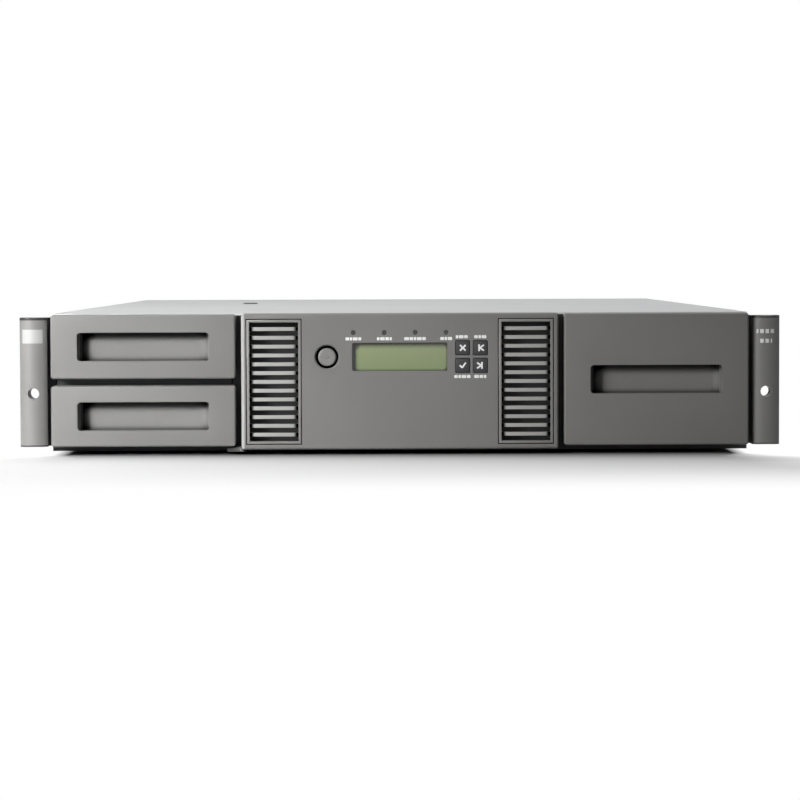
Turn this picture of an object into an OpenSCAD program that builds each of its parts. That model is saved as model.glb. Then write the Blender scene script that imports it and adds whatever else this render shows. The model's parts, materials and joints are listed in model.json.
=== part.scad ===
// Rack tape library, two rack units high, with two cartridge magazines, a mail
// slot, a travelling picker robot and one full-height drive on a sled.
// +X is the operator's right, the front faces -Y, +Z is up, and the origin is
// at the middle of the footprint, on the surface that the feet stand on.

/* [Cartridges] */
// Length of a cartridge, the way it slides into a cell
cartridge_l = 105.4; // [100:0.1:110]
// Width of a cartridge
cartridge_w = 102; // [98:0.1:106]
// Height of a cartridge
cartridge_h = 21.5; // [20:0.1:23]
// Spare width of a cell over a cartridge
cell_spare_w = 1.6; // [1:0.1:3]
// Spare height of a cell over a cartridge
cell_spare_h = 1.1; // [0.8:0.1:2]
// Space behind a cartridge for its leaf spring
spring_space = 4.3; // [3.6:0.1:6]

/* [Magazines] */
// Rows of cells in a magazine
rows = 3; // [3]
// Columns of cells in a magazine
columns = 4; // [3:1:5]
// Thickness of the magazine's moulded walls
case_t = 2; // [1.6:0.1:2.6]
// Thickness of the magazine's top plate
case_top_t = 1.6; // [1.4:0.1:2]
// Thickness of a divider between two columns
divider_t = 3; // [2.4:0.1:4]
// Thickness of a shelf between two rows
shelf_t = 2; // [1.6:0.1:2.6]
// Setback of the first cell behind the front face
cell_setback = 62; // [60:0.5:70]
// Height of the rails under a magazine
rail_h = 4.5; // [4.3:0.1:6]
// Width of one rail
rail_w = 8; // [6:0.5:12]
// Distance that a magazine pulls out
magazine_travel = 450; // [300:5:460]
// Distance that the mail slot pulls out
mail_travel = 125; // [110:1:140]
// Thickness of the mail slot's floor
mail_floor_t = 1.3; // [1:0.1:1.6]
// Thickness of the mail slot's walls
mail_wall_t = 1.4; // [1.2:0.1:1.8]
// Height of the low lip at the back of the mail slot
mail_lip_h = 4; // [3:0.5:8]
// Length of a window in the magazine's outer wall
window_w = 60; // [40:1:72]
// Height of a window in the magazine's outer wall
window_h = 11; // [8:0.5:14]
// Thickness of a leaf spring
spring_t = 0.5; // [0.4:0.05:0.8]
// Height of a leaf spring
spring_h = 9; // [6:0.5:12]
// Length of a leaf spring
spring_l = 56; // [40:1:70]
// Bow of a leaf spring
spring_bow = 2.8; // [2:0.1:3.2]

/* [Chassis] */
// Thickness of the folded steel sheet
sheet_t = 1.2; // [1:0.1:1.5]
// Height of the rubber feet
foot_h = 2; // [1.6:0.1:5]
// Radius of a foot
foot_r = 10; // [7:0.5:13]
// Distance of a foot's middle from the sides and ends of the tray
foot_inset = 32; // [20:1:45]
// Clear height between the magazines and the top cover
top_clear = 3.4; // [3.4:0.1:6]
// Gap between a magazine and the side wall
bay_gap = 1.6; // [1:0.1:3]
// Width of the cover's side lips
cover_lip = 12; // [8:0.5:16]
// Thickness of the front frame
frame_t = 1.5; // [1.2:0.1:2]
// Radius of the round plug in the top cover
plug_r = 6; // [4:0.5:9]
// Radius of a cover screw's head
screw_head_r = 3; // [2:0.1:4]
// Height of a cover screw's head
screw_head_h = 1; // [0.8:0.1:1.6]

/* [Rack ears] */
// Width of an ear beside the chassis, which makes the rack standard's 19 inches
ear_w = 19.3; // [18.6:0.1:20]
// Distance of the mounting hole from the chassis side
rack_hole_in = 10.55; // [10:0.05:11]
// Height of the mounting holes over the chassis floor
rack_hole_h = 37.3; // [30:0.1:45]
// Radius of a mounting hole
rack_hole_r = 3.5; // [3:0.1:4]
// Thickness of an ear's steel plate
ear_t = 2; // [1.5:0.1:2.2]
// Length of the ear plate along the chassis side
ear_leg = 62; // [40:1:90]
// Height of an ear
ear_h = 82; // [70:0.5:84]
// Height of an ear's lower end over the floor
ear_low = 5.5; // [4:0.1:8]
// Depth of the moulded cover over an ear
ear_cover_d = 14; // [10:0.5:16]
// Bulge of the ear cover's round front
ear_bulge = 3.6; // [2:0.1:5]

/* [Front panels] */
// Depth of the moulded front panels
bezel_d = 16; // [14:0.5:20]
// Thickness of a front panel's face
face_t = 2.6; // [2:0.1:3.2]
// Thickness of a front panel's edge walls
rim_t = 2.4; // [2:0.1:3]
// Radius of a front panel's corners
corner_r = 2.2; // [1:0.1:4]
// Radius of the edge around a panel's face
edge_r = 1.4; // [0.8:0.1:2]
// Gap behind the moving panels
front_gap = 0.5; // [0.3:0.1:1]
// Gap between the control panel and each side panel
panel_gap = 3.5; // [2:0.1:5]
// Width of the control panel
panel_w = 201.2; // [196:0.2:204]
// Height of the control panel's lower edge over the floor
panel_low = 3.2; // [2.6:0.1:5]
// Reach of the lip under the left magazine panel
lip_reach = 5.6; // [4:0.1:9]
// Height of the side panels' lower edge over the floor
bezel_low = 5.4; // [4:0.1:7]
// Distance of the side panels' upper edge below the top of the cover
bezel_drop = 0.4; // [0:0.1:1]
// Distance of the side panels' outer edge inside the chassis side
bezel_inset = 0.7; // [0.3:0.1:2]
// Height of the magazine panel below the mail slot
lower_bezel_h = 38.8; // [34:0.1:44]
// Gap between that panel and the mail slot's panel
mail_gap = 4.3; // [2:0.1:6]
// Width of a handle recess
grip_w = 83.5; // [60:0.5:95]
// Height of a handle recess's mouth
grip_h = 18; // [14:0.5:20]
// Depth of a handle recess
grip_d = 10.5; // [9:0.5:11.5]
// Wall around a handle recess
grip_wall = 1.6; // [1.2:0.1:2]
// Rise of the finger hold above the mouth
grip_rise = 4; // [3:0.5:5]
// Thickness of the lip in front of the finger hold
grip_lip = 4; // [3:0.5:5]
// Radius of the recess's round back corners
grip_r = 6; // [3:0.5:8]
// Radius of the screw bosses behind the panels
boss_r = 3; // [2:0.1:4]

/* [Control panel] */
// Height of the display and button above the floor
display_z = 62; // [55:0.5:64]
// Width of the display window
window_lcd_w = 60.3; // [50:0.1:70]
// Height of the display window
window_lcd_h = 17.8; // [14:0.1:24]
// Overlap of the display glass behind its window
lcd_lap = 1.5; // [1:0.1:2]
// Thickness of the display glass
glass_t = 1.2; // [0.8:0.1:1.5]
// Depth of the display module
lcd_d = 4.2; // [3:0.1:5]
// Place of the power button, left of the middle
button_x = 46.1; // [42:0.1:52]
// Radius of the power button
button_r = 5.7; // [4:0.1:6.5]
// Width of the open ring around the power button
button_ring = 1.5; // [1:0.1:2]
// Chamfer at the mouth of that ring
ring_chamfer = 0.8; // [0.5:0.1:1]
// Length of the guide behind that ring
button_guide = 2.4; // [2:0.1:3]
// Travel of the power button
button_travel = 1.5; // [1:0.1:2]
// Place of the key group's middle, right of the middle
keys_x = 45.5; // [42:0.1:52]
// Distance between two keys
key_pitch = 11.2; // [10:0.1:13]
// Width of a key
key_w = 9; // [7:0.1:9.4]
// Travel of a key
key_travel = 0.8; // [0.5:0.1:1]
// Height of the row of lamps above the floor
lamp_z = 77.4; // [75:0.1:82]
// Distance between two lamps
lamp_pitch = 19.6; // [15:0.1:22]
// Radius of a lamp
lamp_r = 1.5; // [1:0.1:2]
// Gap around keys, buttons and lamps
key_gap = 0.25; // [0.2:0.05:0.4]
// Thickness of the panel's circuit board
board_t = 1.6; // [1:0.1:2]
// Place of a vent's middle, left and right of the middle
vent_x = 79.9; // [76:0.1:82]
// Width of a vent
vent_w = 31; // [24:0.1:33]
// Height of a vent
vent_h = 75.4; // [60:0.1:77]
// Width of the light rim around a vent
vent_rim = 2.2; // [1:0.1:2.4]
// Number of louvres in a vent
louvres = 13; // [6:1:14]
// Thickness of a louvre
louvre_t = 2.4; // [1.6:0.1:2.6]
// Depth of a louvre
louvre_d = 6; // [4:0.5:8]
// Setback of the louvres behind the panel's face
louvre_set = 0.7; // [0.3:0.1:1.5]
// Thickness of the flange that holds a vent in its panel
vent_flange = 1; // [0.8:0.1:1]

/* [Robot] */
// Half of the aisle between the magazines
aisle_half = 107.5; // [106:0.1:112]
// Gap around the picker's corners as it turns
swing_gap = 0.55; // [0.4:0.05:2]
// Space between the picker's swing and the drive
drive_gap = 6.4; // [6:0.1:12]
// Thickness of the carriage's base plate
base_t = 1.5; // [1.2:0.1:1.6]
// Gap of the parts that slide
slide_gap = 0.3; // [0.3:0.05:0.5]
// Gap between the toothed rack and the magazine beside it
rack_gap = 5.3; // [4:0.1:8]
// Width of the toothed rack
rack_body_w = 6; // [4:0.5:8]
// Room for a guide rail between the carriage and the toothed rack
guide_room = 3; // [2.8:0.1:4]
// Thickness of the guide rails' lips
lip_t = 0.8; // [0.6:0.1:1]
// Radius of the four posts
post_r = 3; // [2.5:0.1:3.5]
// Distance of the posts from the middle, across the aisle
post_x = 85; // [84:0.5:86]
// Distance of the posts from the middle, along the aisle
post_y = 62; // [60:0.5:62]
// Running clearance of shafts in their bores
shaft_gap = 0.05; // [0.02:0.01:0.1]
// Thickness of the picker's sheet parts
picker_t = 1.2; // [1:0.1:1.4]
// Gap between a cartridge and the fingers
finger_gap = 0.5; // [0.3:0.1:0.8]
// Thickness of a gripper finger
finger_t = 1.4; // [1:0.1:1.6]
// Room beside the fingers in the cradle
finger_room = 0.9; // [0.6:0.1:1.2]
// Reach of the fingers in front of the gripper's back plate
finger_l = 76; // [60:1:80]
// Travel of the gripper
grip_travel = 95; // [60:1:100]
// Radius of the turntable's hub
hub_r = 8; // [6:0.5:12]
// Thickness of the lift bridge
bridge_t = 2; // [1.6:0.1:2]
// Module of the rack's and the pinion's teeth
tooth_module = 1; // [0.8:0.1:1.2]
// Number of teeth on the pinion
pinion_teeth = 18; // [17:1:19]
// Play between the teeth, measured along the rack
tooth_play = 0.4; // [0.3:0.05:0.6]
// Thickness of the pinion
pinion_t = 2.4; // [2:0.1:2.6]
// Radius of the lift screw
screw_r = 3; // [2:0.1:3.5]

/* [Drive and rear] */
// Width of the drive
drive_w = 146; // [140:0.5:148]
// Height of the drive
drive_h = 82.6; // [78:0.1:82.6]
// Length of the drive
drive_l = 213; // [200:1:230]
// Space between the drive and the rear face
sled_gap = 7; // [5:0.5:12]
// Thickness of the sled's sheet
sled_t = 1.2; // [1:0.1:1.4]
// Gap between the sled and its bay
bay_side_gap = 1; // [0.5:0.1:2]
// Height of the bay's side guides
bay_h = 50; // [30:1:75]
// Width of the bay's feet on the floor
bay_foot = 8; // [6:0.5:12]
// Setback of the bay behind the drive's front
bay_setback = 15; // [10:0.5:25]
// Distance that everything at the rear stands out
rear_proj = 24; // [20:0.5:30]
// Radius of a thumbscrew
thumb_r = 5; // [4:0.5:6]
// Length of a thumbscrew's head
thumb_l = 14; // [10:0.5:16]
// Radius of the sled's handle bar
handle_r = 4; // [3:0.5:5]
// Width of the sled's handle
handle_w = 80; // [70:1:110]
// Distance that the drive sled pulls out
sled_travel = 225; // [150:1:240]
// Width of the power supply
supply_w = 100; // [80:1:104]
// Height of the power supply
supply_h = 40; // [36:1:50]
// Length of the power supply
supply_l = 200; // [150:1:215]
// Width of the fan's square frame
fan_w = 60; // [50:1:60]
// Thickness of the fan
fan_t = 25; // [20:1:30]
// Thickness of the fan guard's wires
guard_t = 1.2; // [0.8:0.1:1.6]
// Distance between two rings of the fan guard
guard_pitch = 6; // [5:0.5:7]
// Radius of the fan's hub
fan_hub_r = 11; // [9:0.5:13]
// Width of the controller board
controller_w = 100; // [90:1:104]
// Length of the controller board
controller_l = 170; // [150:1:200]
// Height of the controller board over the floor
controller_h = 5; // [4:0.5:8]
// Number of fan blades
fan_blades = 7; // [5:1:9]
// Pitch angle of the fan's blades
blade_angle = 38; // [25:1:50]

/* [Hidden] */

// Round surfaces are true rounds; this only sets how they are drawn
$fn = 48;
// A cut runs this far past the faces that it opens
past = 1;

// Across: from the aisle to the rack ears
cell_l = cartridge_l + spring_space;
case_in = aisle_half;
case_out = case_in + cell_l + case_t;
side_in = case_out + bay_gap;
side_out = side_in + sheet_t;
bezel_in = panel_w / 2 + panel_gap;
bezel_out = side_out - bezel_inset;
bezel_w = bezel_out - bezel_in;
bezel_x = (bezel_in + bezel_out) / 2;
ear_in = side_out + ear_t;
ear_out = side_out + ear_w;
rack_w = 2 * ear_out;
rack_hole_pitch = 2 * (side_out + rack_hole_in);

// The picker's cradle, from its middle
finger_in = cartridge_w / 2 + finger_gap;
finger_out = finger_in + finger_t;
wall_in = finger_out + slide_gap + finger_room;
wall_out = wall_in + picker_t;
grip_back = cartridge_l / 2 + 1.1;
picker_half = cartridge_l / 2 - 2.5;
swing_r = norm([finger_out, grip_back]) + swing_gap;

// Up: from the floor to the top of the cover
tray_z = foot_h;
deck_z = foot_h + sheet_t;
rail_z = deck_z + rail_h;
case_z = rail_z + slide_gap;
cell_z = case_z + case_t;
cell_h = cartridge_h + cell_spare_h;
row_pitch = cell_h + shelf_t;
mail_z = cell_z + (rows - 1) * row_pitch;
cells_top = mail_z + cell_h + mail_floor_t + slide_gap;
case_top = cells_top + case_top_t;
cover_z = case_top + top_clear;
total_h = cover_z + sheet_t;
bezel_top = total_h - bezel_drop;
mail_bezel_low = bezel_low + lower_bezel_h + mail_gap;

// Along: from the front face to what stands out at the rear
cell_w = cartridge_w + cell_spare_w;
column_pitch = cell_w + divider_t;
cells_l = columns * cell_w + (columns - 1) * divider_t;
total_l = cell_setback + cells_l - cell_w / 2 + swing_r + drive_gap + drive_l + sled_gap + rear_proj;
front_y = -total_l / 2;
flange_y = front_y + bezel_d;
frame_y = flange_y + front_gap;
tray_y = frame_y + frame_t;
cells_y = front_y + cell_setback;
cells_end = cells_y + cells_l;
rear_y = total_l / 2 - rear_proj;
drive_y = rear_y - sled_gap - drive_l;
rear_in = rear_y - sheet_t;
robot_y = cells_y + cell_w / 2;
robot_travel = (columns - 1) * column_pitch;
lift_travel = (rows - 1) * row_pitch;

// The robot's levels, at its lowest place
base_z = deck_z + slide_gap + 0.2;
lip_z = base_z + base_t + slide_gap;
pinion_z = lip_z + lip_t + slide_gap;
picker_z = cell_z - picker_t - 0.1;
picker_deck = picker_z + picker_t;
picker_top = picker_deck + cell_h;
bridge_z = picker_top + picker_t + slide_gap;
bridge_top = bridge_z + bridge_t;
hub_cap_t = 1;
yoke_z = bridge_top + lift_travel + slide_gap + 0.2;
yoke_t = 1.4;

// The toothed drive
pitch_r = tooth_module * pinion_teeth / 2;
rack_pitch = PI * tooth_module;
pressure = 20;
rack_back = aisle_half - rack_gap;
rack_line = rack_back - rack_body_w;
base_half = rack_line - guide_room - slide_gap;
pinion_x = rack_line - pitch_r;
pinion_y = -post_y - post_r - pitch_r - tooth_module - 1;
screw_x = -post_x + 16;
screw_y = post_y + 8;
motor_w = 20;
motor_h = 14;
bracket_z = pinion_z + pinion_t + 2 * slide_gap;
bracket_t = 1.5;
base_front = pinion_y - pitch_r - tooth_module - 2;
base_back = screw_y + motor_w / 2;

// ---- shared shapes ----

function arc(cx, cy, r, a0, a1, n) =
    [for (i = [0:n]) let (a = a0 + (a1 - a0) * i / n) [cx + r * cos(a), cy + r * sin(a)]];

function round_rect(w, h, r, n = 5) = concat(
    arc(w / 2 - r, h / 2 - r, r, 0, 90, n),
    arc(-w / 2 + r, h / 2 - r, r, 90, 180, n),
    arc(-w / 2 + r, -h / 2 + r, r, 180, 270, n),
    arc(w / 2 - r, -h / 2 + r, r, 270, 360, n));

// A rectangle from v = 0 to d whose two corners at v = 0 are round
function front_round(w, d, r, n = 4) = concat(
    [[w / 2, d], [-w / 2, d]],
    arc(-w / 2 + r, r, r, 180, 270, n),
    arc(w / 2 - r, r, r, 270, 360, n));

// A rectangle from v = 0 to d whose two corners at v = d are round
function back_round(w, d, r, n = 5) = concat(
    [[-w / 2, 0], [w / 2, 0]],
    arc(w / 2 - r, d - r, r, 0, 90, n),
    arc(-w / 2 + r, d - r, r, 90, 180, n));

function swap(points) = [for (p = points) [p[1], p[0]]];

// A box between its lowest and its highest corner
module span(lo, hi) {
    translate(lo) cube(hi - lo);
}

// Extrudes a shape drawn in X and Z from y0 to y1
module along_y(y0, y1) {
    translate([0, y1, 0]) rotate([90, 0, 0]) linear_extrude(y1 - y0) children();
}

// Extrudes a shape drawn in Y and Z from x0 to x1
module along_x(x0, x1) {
    translate([x0, 0, 0]) rotate([90, 0, 90]) linear_extrude(x1 - x0) children();
}

// Extrudes a shape drawn in X and Y from z0 to z1
module along_z(z0, z1) {
    translate([0, 0, z0]) linear_extrude(z1 - z0) children();
}

// A round rod along Y
module rod_y(x, z, y0, y1, r) {
    translate([x, y1, z]) rotate([90, 0, 0]) cylinder(h = y1 - y0, r = r);
}

// A round rod along Z
module rod_z(x, y, z0, z1, r) {
    translate([x, y, z0]) cylinder(h = z1 - z0, r = r);
}

module both_sides() {
    children();
    mirror([1, 0, 0]) children();
}

// ---- front panels ----

// A block whose face at y = 0 has round corners and soft edges; the middle of
// the face is at x = 0, z = 0
module soft_block(w, h, d) {
    intersection() {
        along_y(0, d) polygon(round_rect(w, h, corner_r));
        along_x(-w / 2, w / 2) polygon(swap(front_round(h, d, edge_r)));
        along_z(-h / 2, h / 2) polygon(front_round(w, d, edge_r));
    }
}

// The same block as a tub that is open at its back
module soft_tub(w, h, d) {
    difference() {
        soft_block(w, h, d);
        span([-w / 2 + rim_t, face_t, -h / 2 + rim_t], [w / 2 - rim_t, d + past, h / 2 - rim_t]);
    }
}

// The space of a handle recess, with its finger hold behind the upper lip
module grip_space() {
    intersection() {
        along_y(-past, grip_d) polygon(round_rect(grip_w, grip_h, corner_r));
        along_z(-grip_h, grip_h) translate([0, -past])
            polygon(back_round(grip_w, grip_d + past, grip_r));
    }
    intersection() {
        span([-grip_w / 2 + grip_r / 2, grip_lip, 0],
            [grip_w / 2 - grip_r / 2, grip_d, grip_h / 2 + grip_rise]);
        along_z(-grip_h, grip_h) polygon(back_round(grip_w, grip_d, grip_r));
    }
}

// A side panel with its handle recess and screw bosses
module side_panel(w, h, d, boss_low, boss_high) {
    difference() {
        union() {
            soft_tub(w, h, d);
            span([-grip_w / 2 - grip_wall, face_t / 2, -grip_h / 2 - grip_wall],
                [grip_w / 2 + grip_wall, grip_d + grip_wall, grip_h / 2 + grip_rise + grip_wall]);
            for (x = [-1, 1], z = [boss_low, boss_high])
                rod_y(x * (w / 2 - rim_t - 2 * boss_r), z, face_t / 2, bezel_d, boss_r);
        }
        grip_space();
    }
}

module place_panel(side, low, high) {
    translate([side * bezel_x, front_y, (low + high) / 2]) children();
}

module left_magazine_bezel() {
    low = bezel_low;
    high = low + lower_bezel_h;
    mid = (low + high) / 2;
    color("dimgray") place_panel(-1, low, high)
        side_panel(bezel_w, high - low, bezel_d, case_z + boss_r + 1 - mid, high - 2 * boss_r - 1 - mid);
}

module mail_slot_bezel() {
    mid = (mail_bezel_low + bezel_top) / 2;
    color("dimgray") place_panel(-1, mail_bezel_low, bezel_top)
        side_panel(bezel_w, bezel_top - mail_bezel_low, bezel_d - slide_gap - 0.1,
            mail_z + slide_gap + boss_r + 0.5 - mid, cells_top - boss_r - 1 - mid);
}

module right_magazine_bezel() {
    mid = (bezel_low + bezel_top) / 2;
    color("dimgray") place_panel(1, bezel_low, bezel_top)
        side_panel(bezel_w, bezel_top - bezel_low, bezel_d, case_z + boss_r + 1 - mid,
            case_top - boss_r - 1 - mid);
}

lamp_xs = [for (i = [-1.5:1.5]) i * lamp_pitch];

module key_place(column, row) {
    translate([keys_x + column * key_pitch / 2, front_y, display_z + row * key_pitch / 2]) children();
}

module square_hole(w) {
    along_y(-past, bezel_d) polygon(round_rect(w, w, 0.8, 3));
}

board_y = front_y + face_t + glass_t + lcd_d;
board_half = 58;
board_low = display_z - 20;
board_high = lamp_z + 5;
board_bosses = [for (x = [-1, 1], z = [board_low + 4, board_high - 3]) [x * (board_half - 3), z]];

module control_panel() {
    h = total_h - panel_low;
    mid = (total_h + panel_low) / 2;
    d = bezel_d + front_gap;
    color("dimgray") difference() {
        union() {
            translate([0, front_y, mid]) soft_tub(panel_w, h, d);
            // a low lip that reaches under the left magazine panel
            span([-panel_w / 2 - panel_gap - lip_reach, front_y + face_t, tray_z],
                [-panel_w / 2 + rim_t, flange_y - slide_gap, bezel_low - slide_gap]);
            // bosses that carry the circuit board
            for (b = board_bosses)
                rod_y(b[0], b[1], front_y + face_t / 2, board_y, boss_r);
            // the guide of the power button
            rod_y(-button_x, display_z, front_y + face_t / 2, front_y + face_t + button_guide,
                button_r + button_ring + boss_r / 2);
        }
        for (side = [-1, 1])
            translate([side * vent_x, front_y, total_h / 2 + panel_low / 2])
                along_y(-past, d + past) square([vent_w + 2 * vent_rim, vent_h + 2 * vent_rim], center = true);
        translate([0, front_y, display_z])
            along_y(-past, bezel_d) polygon(round_rect(window_lcd_w, window_lcd_h, 1, 3));
        // the power button's bore, the ring around the button and its chamfer
        rod_y(-button_x, display_z, front_y - past, front_y + bezel_d, button_r + key_gap);
        rod_y(-button_x, display_z, front_y - past, front_y + face_t, button_r + button_ring);
        translate([-button_x, front_y, display_z]) rotate([-90, 0, 0])
            cylinder(h = ring_chamfer, r1 = button_r + button_ring + ring_chamfer, r2 = button_r + button_ring);
        for (column = [-1, 1], row = [-1, 1])
            key_place(column, row) square_hole(key_w + 2 * key_gap);
        for (x = lamp_xs)
            rod_y(x, lamp_z, front_y - past, front_y + bezel_d, lamp_r);
    }
}

// One louvre, seen from above: straight in front, its ends curving back
module louvre() {
    half = vent_w / 2 + 0.5;
    curve = louvre_d - 2;
    wall = 1.6;
    along_z(-louvre_t / 2, louvre_t / 2) polygon(concat(
        arc(-half + curve, curve, curve, 180, 270, 5),
        arc(half - curve, curve, curve, 270, 360, 5),
        [[half, louvre_d], [half - wall, louvre_d]],
        arc(half - curve, curve, curve - wall, 0, -90, 4),
        arc(-half + curve, curve, curve - wall, -90, -180, 4),
        [[-half + wall, louvre_d], [-half, louvre_d]]));
}

// A framed stack of louvres; a flange holds it behind the panel's face
module vent_grille(side) {
    mid = total_h / 2 + panel_low / 2;
    w = vent_w + 2 * vent_rim - 2 * key_gap;
    h = vent_h + 2 * vent_rim - 2 * key_gap;
    pitch = vent_h / (louvres + 0.5);
    depth = louvre_d + louvre_set;
    color("gray") translate([side * vent_x, front_y, mid]) {
        difference() {
            union() {
                intersection() {
                    along_y(0, depth) square([w, h], center = true);
                    along_x(-w, w) polygon(swap(front_round(h, depth, vent_rim / 3, 3)));
                    along_z(-h, h) polygon(front_round(w, depth, vent_rim / 3, 3));
                }
                along_y(face_t, face_t + vent_flange) square([w + vent_flange, h + vent_flange], center = true);
            }
            along_y(-past, depth + past) square([vent_w, vent_h], center = true);
        }
        for (i = [0:louvres - 1])
            translate([0, louvre_set, (i - (louvres - 1) / 2) * pitch]) louvre();
    }
}

module left_vent_grille() {
    vent_grille(-1);
}

module right_vent_grille() {
    vent_grille(1);
}

module lcd_glass() {
    color("darkkhaki") translate([0, front_y, display_z]) along_y(face_t, face_t + glass_t)
        square([window_lcd_w + 2 * lcd_lap, window_lcd_h + 2 * lcd_lap], center = true);
}

module lcd_module() {
    color("silver") translate([0, front_y, display_z]) along_y(face_t + glass_t, face_t + glass_t + lcd_d)
        square([window_lcd_w + 2 * lcd_lap + 3, window_lcd_h + 2 * lcd_lap + 4], center = true);
}

// Lamps: a round lens in the panel and a square foot on the circuit board
module status_lamps() {
    color("black") for (x = lamp_xs) {
        rod_y(x, lamp_z, front_y + 0.3, board_y, lamp_r - 0.1);
        translate([x, board_y - 1, lamp_z]) cube([4, 2, 4], center = true);
    }
}

module panel_board() {
    color("darkgreen") {
        difference() {
            span([-board_half, board_y, board_low], [board_half, board_y + board_t, board_high]);
            for (b = board_bosses)
                rod_y(b[0], b[1], board_y - past, board_y + board_t + past, 1.2);
        }
        // push switches under the button and the keys
        for (column = [-1, 1], row = [-1, 1])
            key_place(column, row) span([-3, board_y - front_y - 1.8, -3], [3, board_y - front_y, 3]);
        translate([-button_x, board_y - 1, display_z]) cube([6, 2, 6], center = true);
    }
}

// The button's cap is dished, with a small raised dot in its middle
module power_button() {
    top = 0.5;
    stem = board_y - front_y - 2 - button_travel - slide_gap;
    color("gray") translate([-button_x, front_y, display_z]) rotate([-90, 0, 0])
        rotate_extrude() polygon([[0, 0], [0.9, 0.15], [1.1, top], [button_r - 0.9, top - 0.25],
            [button_r - 0.3, top], [button_r, top + 0.5], [button_r, face_t + 1.2],
            [button_r - 2, face_t + 1.2], [button_r - 2, stem], [0, stem]]);
}

module key_cap(column, row) {
    stem = board_y - front_y - 1.8 - key_travel - slide_gap;
    key_place(column, row) {
        intersection() {
            along_y(0, face_t + 1) polygon(round_rect(key_w, key_w, 0.7, 3));
            along_x(-key_w, key_w) polygon(swap(front_round(key_w, face_t + 1, 0.5, 3)));
            along_z(-key_w, key_w) polygon(front_round(key_w, face_t + 1, 0.5, 3));
        }
        span([-2, face_t, -2], [2, stem, 2]);
    }
}

module cancel_key() {
    color("dimgray") key_cap(-1, 1);
}

module previous_key() {
    color("dimgray") key_cap(1, 1);
}

module next_key() {
    color("dimgray") key_cap(1, -1);
}

module enter_key() {
    color("dimgray") key_cap(-1, -1);
}

// ---- chassis ----

module chassis_tray() {
    color("silver") difference() {
        span([-side_out, tray_y, tray_z], [side_out, rear_in, cover_z]);
        span([-side_in, tray_y - past, deck_z], [side_in, rear_in + past, cover_z + past]);
        cover_screw_holes();
    }
}

// Holes through the cover's lips and the tray's sides
module cover_screw_holes() {
    both_sides() for (y = cover_screw_ys)
        translate([side_in - past, y, lip_screw_z]) rotate([0, 90, 0])
            cylinder(h = 2 * sheet_t + 2 * past, r = screw_head_r / 2);
}

// Round-headed screws through the cover's lips
module cover_screws() {
    color("silver") both_sides() for (y = cover_screw_ys)
        translate([side_in - 1, y, lip_screw_z]) rotate([0, 90, 0]) {
            cylinder(h = 2 * sheet_t + 1, r = screw_head_r / 2 - 0.05);
            translate([0, 0, 2 * sheet_t + 1]) cylinder(h = screw_head_h, r = screw_head_r);
        }
}

lip_screw_z = total_h - cover_lip / 2;
cover_front_y = tray_y + ear_leg + 2;
cover_screw_ys = [for (i = [0:2]) cover_front_y + 30 + i * (rear_y - cover_front_y - 60) / 2];
plug_x = -117;
plug_y = front_y + 467;

module top_cover() {
    color("gainsboro") difference() {
        union() {
            span([-side_out, frame_y, cover_z], [side_out, rear_y, total_h]);
            both_sides() span([side_out, cover_front_y, total_h - cover_lip],
                [side_out + sheet_t, rear_y, total_h]);
        }
        rod_z(plug_x, plug_y, cover_z - past, total_h + past, plug_r - 1);
        cover_screw_holes();
    }
}

// A domed plug in the round hole of the top cover
module cover_plug() {
    color("black") translate([plug_x, plug_y, 0]) rotate_extrude() polygon([[0, cover_z - 1],
        [plug_r - 1.05, cover_z - 1], [plug_r - 1.05, total_h], [plug_r, total_h],
        [plug_r - 0.3, total_h + 0.5], [plug_r - 1.5, total_h + 0.8], [0, total_h + 0.8]]);
}

module feet() {
    color("black") both_sides() for (y = [tray_y + foot_inset, rear_y - foot_inset])
        rod_z(side_out - foot_inset, y, 0, foot_h, foot_r);
}

// The frame behind the front panels, with one opening for each magazine
module front_frame() {
    play = 0.8;
    color("black") difference() {
        span([-side_out, frame_y, tray_z], [side_out, tray_y, cover_z]);
        both_sides() span([case_in - play, frame_y - past, case_z - play],
            [case_out + play, tray_y + past, case_top + play]);
    }
}

// The steel angle of an ear, on the chassis side
module rack_ear() {
    color("dimgray") difference() {
        union() {
            span([side_out, flange_y + ear_t / 2, ear_low + tray_z],
                [side_out + ear_t, tray_y + ear_leg, ear_low + ear_h - tray_z]);
            span([side_out, flange_y, ear_low], [ear_out, flange_y + ear_t, ear_low + ear_h]);
        }
        rack_hole();
    }
}

module rack_hole() {
    rod_y(rack_hole_pitch / 2, tray_z + rack_hole_h, front_y - past, flange_y + ear_t + past, rack_hole_r);
}

module left_rack_ear() {
    mirror([1, 0, 0]) rack_ear();
}

module right_rack_ear() {
    rack_ear();
}

// The moulded pillar over an ear: round in front, soft at both ends
module ear_cover() {
    w = ear_out - ear_in;
    mid = (ear_in + ear_out) / 2;
    round_r = (w * w / 4 + ear_bulge * ear_bulge) / (2 * ear_bulge);
    front = flange_y - ear_cover_d;
    color("gray") difference() {
        intersection() {
            span([ear_in, front, ear_low], [ear_out, flange_y, ear_low + ear_h]);
            rod_z(mid, front + round_r, ear_low - past, ear_low + ear_h + past, round_r);
            along_x(ear_in - past, ear_out + past) translate([front, ear_low + ear_h / 2])
                polygon(swap(front_round(ear_h, ear_cover_d, edge_r)));
        }
        rack_hole();
    }
}

module left_ear_cover() {
    mirror([1, 0, 0]) ear_cover();
}

module right_ear_cover() {
    ear_cover();
}

// Two runners on the floor under each magazine
module magazine_rails() {
    color("silver") both_sides() for (x = [case_in + 5, case_out - 5 - rail_w])
        span([x, tray_y, deck_z], [x + rail_w, cells_end, rail_z]);
}

// ---- magazines ----

function column_y(column) = cells_y + column * column_pitch;

function row_z(row) = cell_z + row * row_pitch;

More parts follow.
